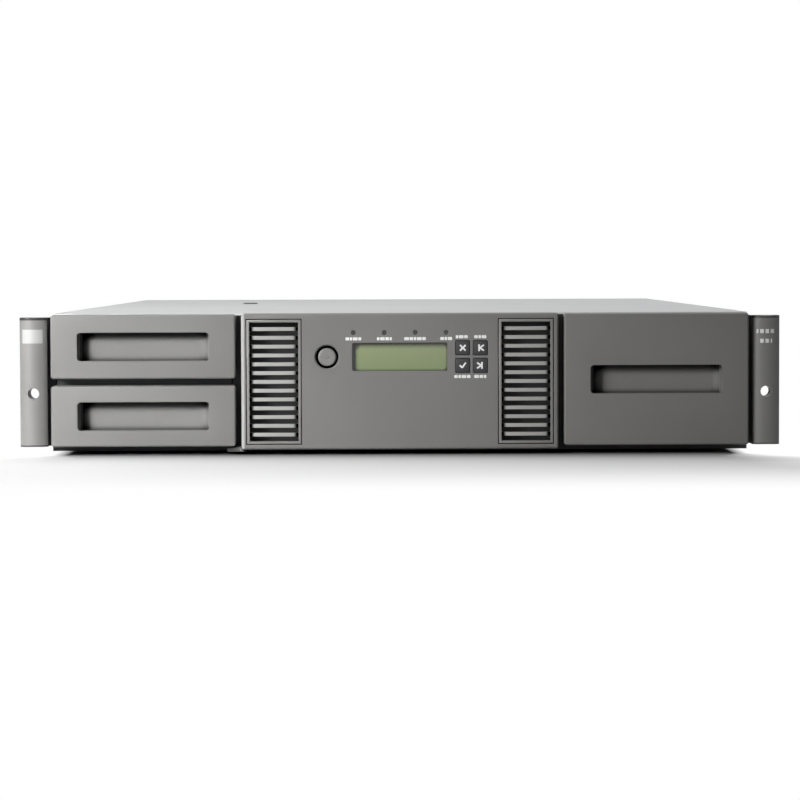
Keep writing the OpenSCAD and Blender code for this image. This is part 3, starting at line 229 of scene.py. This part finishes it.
def inside(n, low, high, x0, x1, z0, z1):
    """1 within a part of a box in the X-Z plane; the limits are shares of its width and height."""
    sides = []
    for value, base, size, start, end in ((n.x, low.x, high.x - low.x, x0, x1),
                                          (n.z, low.z, high.z - low.z, z0, z1)):
        start, end = base + size * start, base + size * end
        sides += [n.span(value, start, start + EAR_FADE, 0, 1), n.span(value, end - EAR_FADE, end, 1, 0)]
    return n.product(*sides)


def ear_ends(n):
    """1 on the dark ends of the ear covers."""
    low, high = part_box("left_ear_cover")
    top, bottom = high.z - EAR_TOP_DARK, low.z + EAR_LOW_DARK
    return n.math("MAXIMUM", n.span(n.z, top - EAR_FADE, top, 0, 1),
        n.span(n.z, bottom, bottom + EAR_FADE, 1, 0))


def ear_patch(n):
    """1 on the bare pale patch of the left ear."""
    return inside(n, *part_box("left_ear_cover"), *EAR_PATCH)


def ear_dashes(n):
    """1 on the two rows of plain dashes of the right ear."""
    low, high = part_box("right_ear_cover")
    rows = n.math("MAXIMUM", *(inside(n, low, high, *row) for row in EAR_ROWS))
    wave = n.add("ShaderNodeTexWave", {"Vector": n.coords, "Scale": EAR_DASH_SCALE, "Distortion": 0.0},
        bands_direction="X")
    return n.product(rows, n.span(wave.outputs["Fac"], 0.15, 0.35, 0, 1))


# ---- materials ----


def finish_of(name, color, rough, metallic=0.0, grain=0.0007, grain_bump=0.05, mottle=0.10, vary=0.05,
              stretch=None, coat=0.0, spots=None, smudge=0.03, corners=0.0, edges=0.0, tones=()):
    """A surface with a grained relief, slow colour variation and uneven gloss.

    spots is the size and strength of zinc crystals, corners the reach of the shade painted black into
    recesses and beside walls that face away from the light, edges the radius of softened edges, and tones a
    list of other colours, each with the mask that says where; some tones are painted highlights and painted
    shade.
    """
    n = Surface(name)
    n.set("Metallic", metallic)
    n.set("IOR", 1.5)
    n.set("Coat Weight", coat)
    fine = n.noise(grain, 2.0, 0.6, n.mapped(stretch) if stretch else None)
    slow = n.noise(0.06, 3.0, 0.55)
    tone = n.mix(n.span(slow, 0.3, 0.7, 0, 1), shade(color, 1 - mottle), shade(color, 1 + mottle))
    hollows = n.mix(1.0, tone, shade((1, 1, 1), 1 - vary), "MULTIPLY")
    tone = n.mix(n.span(fine, 0.35, 0.65, 0, 1), hollows, tone)
    if spots:
        size, amount = spots
        cells = n.add("ShaderNodeTexVoronoi", {"Vector": n.coords, "Scale": 1 / size}, feature="F1")
        crystal = n.add("ShaderNodeSeparateColor", {"Color": cells.outputs["Color"]}).outputs[0]
        tone = n.mix(n.span(crystal, 0, 1, 0, amount), tone, shade(color, 0.55))
    plain = tone
    for other, mask in tones:
        ratio = tuple(b / a for a, b in zip(color, other)) + (1,)
        tone = n.mix(mask(n), tone, n.mix(1.0, plain, ratio, "MULTIPLY"))
    # Painted shade: recesses and places beside walls away from the light turn black, and their reflection
    # dims
    if corners:
        clear = n.clear_of_walls(corners)
        tone = n.mix(clear, BLACK, tone)
        n.set("Specular IOR Level", n.math("MULTIPLY", clear, 0.25))
    n.set("Base Color", tone)
    worn = n.span(n.noise(0.025, 4.0, 0.6), 0.35, 0.65, rough - smudge, rough + smudge)
    n.set("Roughness", n.math("ADD", worn, n.span(fine, 0.3, 0.7, -0.02, 0.02)))
    rounded = n.add("ShaderNodeBevel", {"Radius": edges}, samples=6).outputs[0] if edges else None
    n.set("Normal", n.bump(fine, grain_bump, grain, rounded))
    return n.material


GREY = (0.212, 0.209, 0.204)
FINISHES = {
    # corners paints shade black into the recesses of this front and of the vents
    "front_plastic": dict(color=GREY, rough=0.44, grain=0.0004, grain_bump=0.10, mottle=0.04, vary=0.10,
        # The paler tone below is a painted highlight on the edge that faces the key lamp
        corners=0.009, edges=0.0008, tones=[((0.46, 0.455, 0.45), painted_edge_highlight)]),
    "ear_plastic": dict(color=shade(GREY, 0.96)[:3], rough=0.36, grain=0.0004, grain_bump=0.08, mottle=0.04,
        vary=0.08, edges=0.0006, tones=[((0.02, 0.02, 0.02), ear_ends), ((0.42, 0.42, 0.415), ear_patch),
        ((0.92, 0.92, 0.91), ear_dashes)]),
    "vent_plastic": dict(color=(0.25, 0.247, 0.24), rough=0.34, grain=0.0004, grain_bump=0.06, mottle=0.05,
        # The near black tone below is painted shade inside the vent, the pale one a painted highlight on the
        # louvres
        corners=0.004, edges=0.0004, tones=[((0.012, 0.012, 0.012), vent_depth),
        ((0.42, 0.415, 0.405), louvre_painted_highlight)]),
    "key_plastic": dict(color=(0.022, 0.022, 0.024), rough=0.5, grain=0.0003, grain_bump=0.1),
    "button_plastic": dict(color=(0.235, 0.232, 0.225), rough=0.34, grain=0.0003, grain_bump=0.05),
    "lamp_plastic": dict(color=(0.02, 0.022, 0.02), rough=0.12, grain=0.0008, grain_bump=0.02, coat=0.6),
    "black_plastic": dict(color=(0.018, 0.018, 0.019), rough=0.5, grain=0.0006, grain_bump=0.15, mottle=0.15),
    "cover_paint": dict(color=(0.56, 0.565, 0.57), rough=0.42, metallic=0.15, grain=0.0006, grain_bump=0.05,
        mottle=0.03),
    "zinc_sheet": dict(color=(0.56, 0.57, 0.58), rough=0.38, metallic=0.9, grain=0.0012, grain_bump=0.03,
        mottle=0.05, spots=(0.011, 0.3), smudge=0.06),
    "black_sheet": dict(color=(0.014, 0.014, 0.015), rough=0.55, grain=0.0005, grain_bump=0.1, mottle=0.1),
    "rubber_foot": dict(color=(0.02, 0.02, 0.02), rough=0.75, grain=0.0005, grain_bump=0.3, mottle=0.2),
    "bright_metal": dict(color=(0.68, 0.68, 0.67), rough=0.26, metallic=1.0, grain=0.0006, grain_bump=0.03,
        stretch=(8, 1, 8), mottle=0.04),
    "spring_steel": dict(color=(0.6, 0.6, 0.58), rough=0.22, metallic=1.0, grain=0.0005, grain_bump=0.02,
        stretch=(1, 1, 10)),
    "magazine_plastic": dict(color=(0.05, 0.054, 0.058), rough=0.5, grain=0.0007, grain_bump=0.15,
        mottle=0.12),
    "robot_metal": dict(color=(0.45, 0.455, 0.46), rough=0.34, metallic=1.0, grain=0.0005, grain_bump=0.04,
        stretch=(1, 12, 12), mottle=0.05),
    "motor_metal": dict(color=(0.09, 0.09, 0.095), rough=0.4, metallic=0.5, grain=0.0005),
    "gear_plastic": dict(color=(0.72, 0.69, 0.58), rough=0.4, grain=0.0006, mottle=0.06),
    "drive_metal": dict(color=(0.40, 0.41, 0.42), rough=0.36, metallic=0.9, grain=0.0008, grain_bump=0.04,
        stretch=(10, 1, 10), mottle=0.06),
    "handle_plastic": dict(color=(0.07, 0.07, 0.075), rough=0.42, grain=0.0005, grain_bump=0.1),
    "thumbscrew_metal": dict(color=(0.10, 0.19, 0.38), rough=0.32, metallic=0.8, grain=0.0005),
}


def board_material():
    """Green solder mask over a faint pattern of copper tracks."""
    n = Surface("circuit_board")
    tracks = n.add("ShaderNodeTexBrick", {"Vector": n.mapped((1, 1, 0)), "Scale": 170.0, "Mortar Size": 0.09,
        "Brick Width": 0.9, "Row Height": 0.35, "Color1": BLACK, "Color2": (0.25, 0.25, 0.25, 1),
        "Mortar": WHITE}).outputs["Fac"]
    n.set("Base Color", n.mix(tracks, (0.012, 0.085, 0.035, 1), (0.03, 0.16, 0.07, 1)))
    n.set("Roughness", n.span(n.noise(0.004), 0.3, 0.7, 0.28, 0.42))
    n.set("Normal", n.bump(tracks, 0.15, 0.0001))
    n.set("Coat Weight", 0.3)
    return n.material


CELL = (3.4 * MM, 6.2 * MM)
CELL_LINE = 0.18 * MM
GLASS_SHADOW = 3.0 * MM


def glass_material():
    """The display's olive glass over a faint grid of character cells, with a painted shadow along its left
    jamb and painted shade near its walls.
    """
    n = Surface("display_glass")
    low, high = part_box("lcd_glass")
    flat = n.add("ShaderNodeCombineXYZ", {"X": n.x, "Y": n.z}).outputs[0]
    lines = n.add("ShaderNodeTexBrick", {"Vector": flat, "Scale": 1.0, "Mortar Size": CELL_LINE,
        "Brick Width": CELL[0], "Row Height": CELL[1], "Color1": WHITE, "Color2": WHITE, "Mortar": BLACK},
        offset=0.0).outputs["Fac"]
    tone = n.mix(n.span(n.z, low.z, high.z, 0, 1), (0.198, 0.256, 0.112, 1), (0.262, 0.308, 0.165, 1))
    tone = n.mix(n.span(lines, 0, 1, 0, 0.04), tone, (0.10, 0.12, 0.05, 1))
    # Painted shadow along the left jamb and painted shade near the window's walls
    jamb = n.span(n.x, low.x + GLASS_SHADOW, low.x + GLASS_SHADOW + MM, 0.06, 1)
    n.set("Base Color", n.mix(n.product(n.clear_of_walls(0.005), jamb), BLACK, tone))
    n.set("Roughness", n.span(n.noise(0.02), 0.3, 0.7, 0.10, 0.2))
    n.set("Normal", n.bump(n.noise(0.0004), 0.02, 0.0002))
    n.set("Coat Weight", 0.5)
    return n.material


def print_material():
    """The pale ink of the captions and the marks on the keys."""
    n = Surface("printed_mark")
    ink = n.mix(n.span(n.noise(0.0006), 0.3, 0.7, 0, 1), (0.82, 0.82, 0.81, 1), (0.92, 0.92, 0.91, 1))
    n.set("Base Color", ink)
    n.set("Roughness", n.span(n.noise(0.002), 0.3, 0.7, 0.4, 0.55))
    n.set("Normal", n.bump(n.noise(0.0003), 0.1, 0.0001))
    return n.material


MATERIALS = {name: finish_of(name, **values) for name, values in FINISHES.items()}
MATERIALS["circuit_board"] = board_material()
MATERIALS["display_glass"] = glass_material()
PRINT = print_material()

# ---- CAD nodes: welded, smoothed by angle and with eased edges ----

WELD_DISTANCE = 2e-6
SMOOTH_ANGLE = math.radians(32)
EASE_ANGLE = math.radians(40)
# Widths of the eased edges, in mm
EASED = {"top_cover": 0.25, "rear_panel": 0.2, "left_rack_ear": 0.25, "right_rack_ear": 0.25,
    "drive_sled": 0.2, "drive_case": 0.5, "power_supply": 0.4, "carriage_yoke": 0.2, "lift_frame": 0.2,
    "power_inlet": 0.2, "io_ports": 0.15, "left_magazine_case": 0.25, "right_magazine_case": 0.25,
    "mail_slot_tray": 0.2, "front_frame": 0.15, "control_panel": 0.15, "left_magazine_bezel": 0.2,
    "mail_slot_bezel": 0.2, "right_magazine_bezel": 0.2, "magazine_rails": 0.3, "robot_guide_rails": 0.15,
    "drive_bay": 0.2, "sled_handle": 0.2, "barcode_reader": 0.3, "robot_motors": 0.3, "gripper": 0.15,
    "picker_frame": 0.15}
# These keep the normals they came with: smoothing leaves streaks on their long faces
EXACT = ("left_ear_cover", "right_ear_cover", "chassis_tray")


def smoothing_group():
    """Geometry nodes that weld a mesh and smooth its edges below an angle."""
    group = bpy.data.node_groups.new("smooth_by_angle", "GeometryNodeTree")
    group.interface.new_socket("Geometry", in_out="INPUT", socket_type="NodeSocketGeometry")
    group.interface.new_socket("Geometry", in_out="OUTPUT", socket_type="NodeSocketGeometry")
    add, link = group.nodes.new, group.links.new
    start, end = add("NodeGroupInput"), add("NodeGroupOutput")
    drop = add("GeometryNodeRemoveAttribute")
    drop.inputs["Name"].default_value = "custom_normal"
    weld = add("GeometryNodeMergeByDistance")
    weld.inputs["Distance"].default_value = WELD_DISTANCE
    faces, edges = add("GeometryNodeSetShadeSmooth"), add("GeometryNodeSetShadeSmooth")
    edges.domain = "EDGE"
    angle, small = add("GeometryNodeInputMeshEdgeAngle"), add("FunctionNodeCompare")
    small.data_type, small.operation = "FLOAT", "LESS_THAN"
    small.inputs[1].default_value = SMOOTH_ANGLE
    link(start.outputs[0], drop.inputs["Geometry"])
    link(drop.outputs[0], weld.inputs["Geometry"])
    link(weld.outputs[0], faces.inputs["Geometry"])
    link(faces.outputs[0], edges.inputs["Geometry"])
    link(angle.outputs["Unsigned Angle"], small.inputs[0])
    link(small.outputs[0], edges.inputs["Shade Smooth"])
    link(edges.outputs[0], end.inputs[0])
    return group


SMOOTH = smoothing_group()
slot_of = {part["node"]: part["material_slot"] for part in frame["record"]["subparts"]}
for node_name, node in NODES.items():
    node.data.materials.clear()
    node.data.materials.append(MATERIALS[slot_of[node_name]])
    if node_name in EXACT:
        continue
    node.modifiers.new("smooth", "NODES").node_group = SMOOTH
    if node_name in EASED:
        bevel = node.modifiers.new("eased_edges", "BEVEL")
        bevel.limit_method = "ANGLE"
        bevel.angle_limit = EASE_ANGLE
        bevel.width = EASED[node_name] * MM
        bevel.segments = 2
        bevel.harden_normals = True

# ---- printed marks: captions of the lamps and keys, and the keys' signs ----

PROUD = 0.03 * MM
MARK_Y = FRONT - PROUD
MARK_T = 0.06 * MM
STROKE_STEP = 0.004 * MM        # each stroke is a little prouder than the last, so that none share a plane
DASHES = (2.3 * MM, 1.7 * MM, 3.0 * MM)
DASH_GAP = 0.35 * MM
DASH_LEAST = 1.2 * MM
DASH_CORNER = 0.4 * MM
STROKE_CORNER = 0.3 * MM
CAPTION_H = 2.0 * MM
LAMP_INSET = 2.0 * MM
LAMP_CAPTION_DROP = 3.9 * MM
KEY_CAPTION_AWAY = 7.0 * MM
LAMP_CAPTIONS = (10.0, 9.5, 14.0, 7.5)        # widths in mm
# Key, side of its caption (1 above, -1 below), and the caption's width in mm
KEY_CAPTIONS = (("cancel_key", 1, 9.0), ("previous_key", 1, 8.0), ("next_key", -1, 8.0),
    ("enter_key", -1, 11.0))
# Strokes of each key's sign, in mm and degrees: x, z, length, width, turn
GLYPHS = {
    "cancel_key": [(0, 0, 5.0, 1.1, 45), (0, 0, 5.0, 1.1, -45)],
    "previous_key": [(-0.9, 0, 1.1, 4.4, 0), (0.9, 0.9, 3.2, 1.1, 35), (0.9, -0.9, 3.2, 1.1, -35)],
    "next_key": [(0.9, 0, 1.1, 4.4, 0), (-0.9, 0.9, 3.2, 1.1, -35), (-0.9, -0.9, 3.2, 1.1, 35)],
    "enter_key": [(-1.2, -0.6, 2.4, 1.1, -45), (0.7, 0.2, 4.2, 1.1, 55)],
}


def piece(name, mesh, material, body):
    """A piece of the scene that rides on a body."""
    made = bpy.data.objects.new(name, mesh)
    scene.collection.objects.link(made)
    made.data.materials.append(material)
    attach(made, body)


def plate_mesh(outlines, y, thick):
    """Flat raised shapes in the X-Z plane: each outline is a list of (x, z), its front lies at y."""
    bm = bmesh.new()
    for outline in outlines:
        face = bm.faces.new([bm.verts.new((x, y, z)) for x, z in outline])
        if face.normal.dot(Vector((0, -1, 0))) < 0:
            face.normal_flip()
        extruded = bmesh.ops.extrude_face_region(bm, geom=[face])
        moved = [v for v in extruded["geom"] if isinstance(v, bmesh.types.BMVert)]
        bmesh.ops.translate(bm, verts=moved, vec=(0, thick, 0))
    bmesh.ops.recalc_face_normals(bm, faces=bm.faces)
    mesh = bpy.data.meshes.new("plate")
    bm.to_mesh(mesh)
    bm.free()
    return mesh


def bar(x, z, w, h, r, turn=0.0, steps=3):
    """The outline of a bar with round corners, turned by some degrees, as a list of (x, z)."""
    r = min(r, w / 2, h / 2)
    points = []
    for cx, cz, a0 in ((1, 1, 0), (-1, 1, 90), (-1, -1, 180), (1, -1, 270)):
        for i in range(steps + 1):
            a = math.radians(a0 + 90 * i / steps)
            points.append((cx * (w / 2 - r) + r * math.cos(a), cz * (h / 2 - r) + r * math.sin(a)))
    c, s = math.cos(math.radians(turn)), math.sin(math.radians(turn))
    return [(x + px * c - pz * s, z + px * s + pz * c) for px, pz in points]


def caption(x, z, width, seed):
    """A generic caption: a row of plain dashes that spells nothing."""
    outlines = []
    left, end, step = x - width / 2, x + width / 2, 0
    while left < end - DASH_LEAST:
        w = min(DASHES[(seed + step) % len(DASHES)], end - left)
        outlines.append(bar(left + w / 2, z, w, CAPTION_H, DASH_CORNER))
        left += w + DASH_GAP
        step += 1
    return outlines


def middle(node_name):
    low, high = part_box(node_name)
    return (low + high) / 2


lamp_low, lamp_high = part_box("status_lamps")
lamp_pitch = (lamp_high.x - lamp_low.x - 2 * LAMP_INSET) / (len(LAMP_CAPTIONS) - 1)
caption_z = (lamp_low.z + lamp_high.z) / 2 - LAMP_CAPTION_DROP
marks = []
for i, width in enumerate(LAMP_CAPTIONS):
    marks += caption(lamp_low.x + LAMP_INSET + i * lamp_pitch, caption_z, width * MM, i)
for name, side, width in KEY_CAPTIONS:
    at = middle(name)
    marks += caption(at.x, at.z + side * KEY_CAPTION_AWAY, width * MM, len(name))
piece("panel_captions", plate_mesh(marks, MARK_Y, MARK_T), PRINT, "chassis")

for name, strokes in GLYPHS.items():
    at = middle(name)
    for i, (x, z, w, h, turn) in enumerate(strokes):
        outline = bar(at.x + x * MM, at.z + z * MM, w * MM, h * MM, STROKE_CORNER, turn)
        mesh = plate_mesh([outline], MARK_Y - i * STROKE_STEP, MARK_T)
        piece(f"{name}_glyph_{i + 1}", mesh, PRINT, name)

# ---- floor and backdrop ----

FLOOR_SIZE = 14
FLOOR_GAP = 0.05 * MM
PAPER = (0.84, 0.84, 0.84, 1)
BOUNCE = (0.25, 0.25, 0.25, 1)
# The painted contact shadow: where it starts, how far it reaches and how dark it gets
CONTACT_START = 0.006
CONTACT_REACH = 0.03
CONTACT_DARK = 0.82
BEHIND_FACTOR = 3.0        # behind the object, the floor turns white this much sooner
WHITE_FROM, WHITE_TO = 0.02, 0.30
# The shaded floor's half width grows over this distance, from within the ears to just past them
WIDEN_FROM, WIDEN_TO = 0.02, 0.06
WITHIN_EARS, PAST_EARS = 0.024, 0.002
# Limits of the shaded floor's soft sides: a share of the distance ahead, and a length
SIDE_INNER = (-0.5, -0.006)
SIDE_OUTER = (0.8, 0.004)
SKY_LIGHT = 0.06
SKY_MIRRORED = 0.75


def floor_material():
    """Pale paper with a painted contact shadow, turning white beside the object and away from its front and
    back.
    """
    n = Surface("floor")
    n.tree.nodes.remove(n.bsdf)
    rays = n.add("ShaderNodeLightPath").outputs
    seen = n.math("MAXIMUM", rays["Is Camera Ray"],
        n.math("MAXIMUM", rays["Is Glossy Ray"], rays["Is Transmission Ray"]))
    before = n.math("SUBTRACT", FRONT, n.y)
    behind = n.math("MULTIPLY", n.math("SUBTRACT", n.y, HIGH.y), BEHIND_FACTOR)
    ahead = n.math("MAXIMUM", before, behind)
    half = n.span(ahead, WIDEN_FROM, WIDEN_TO, HIGH.x - WITHIN_EARS, HIGH.x + PAST_EARS)
    spread = n.math("MAXIMUM", before, 0.0)
    beside = n.span(n.math("SUBTRACT", n.math("ABSOLUTE", n.x), half),
        n.math("MULTIPLY_ADD", spread, *SIDE_INNER), n.math("MULTIPLY_ADD", spread, *SIDE_OUTER), 0, 1)
    away = n.span(ahead, WHITE_FROM, WHITE_TO, 0, 1, interpolation_type="SMOOTHSTEP")
    glow = n.product(seen, n.math("MAXIMUM", beside, away))
    # Painted contact shadow: the paper darkens close to the object's front and back
    past = n.math("MAXIMUM", n.math("ADD", ahead, CONTACT_START), 0.0)
    fall = n.math("EXPONENT", n.math("DIVIDE", past, -CONTACT_REACH))
    contact = n.math("SUBTRACT", 1.0, n.product(fall, CONTACT_DARK))
    paper = n.add("ShaderNodeBsdfDiffuse", {"Color": n.mix(seen, BOUNCE, n.mix(contact, BLACK, PAPER))})
    white = n.add("ShaderNodeEmission", {"Color": WHITE, "Strength": 1.0})
    pick = n.add("ShaderNodeMixShader", {"Fac": glow, 1: paper.outputs[0], 2: white.outputs[0]})
    n.put(pick.outputs[0], n.tree.nodes["Material Output"].inputs["Surface"])
    return n.material


bm = bmesh.new()
bmesh.ops.create_grid(bm, x_segments=1, y_segments=1, size=FLOOR_SIZE)
floor_mesh = bpy.data.meshes.new("floor")
bm.to_mesh(floor_mesh)
bm.free()
floor = bpy.data.objects.new("floor", floor_mesh)
scene.collection.objects.link(floor)
floor.location = (0, 0, LOW.z - FLOOR_GAP)
floor.data.materials.append(floor_material())

world = bpy.data.worlds.new("world")
scene.world = world
world.use_nodes = True
sky = Nodes(world.node_tree)
rays = sky.add("ShaderNodeLightPath").outputs
seen = sky.math("MAXIMUM", rays["Is Camera Ray"], rays["Is Transmission Ray"])
level = sky.math("MAXIMUM", seen, sky.span(rays["Is Glossy Ray"], 0, 1, SKY_LIGHT, SKY_MIRRORED))
background = sky.tree.nodes["Background"]
sky.put(WHITE, background.inputs["Color"])
sky.put(level, background.inputs["Strength"])

# ---- lamps: a narrow and a wide key from the left, and a soft one over the top ----

KEY_PLACE = (-1.10, -1.55, 0.60)
KEY_SIZE = (0.55, 0.40)


def lamp(name, place, aim, size, power, spread=180):
    light = bpy.data.lights.new(name, "AREA")
    light.shape = "RECTANGLE"
    light.size, light.size_y = size
    light.energy = power
    light.spread = math.radians(spread)
    made = bpy.data.objects.new(name, light)
    scene.collection.objects.link(made)
    made.location = place
    made.rotation_euler = (Vector(aim) - Vector(place)).to_track_quat("-Z", "Y").to_euler()


lamp("key", KEY_PLACE, (-0.45, FRONT, 0.04), KEY_SIZE, 2.3, 33)
lamp("key_wide", KEY_PLACE, (0, FRONT, 0.04), KEY_SIZE, 14.7)
lamp("top", (0.2, 0.1, 1.3), (0.05, 0, 0.05), (1.2, 0.8), 8)
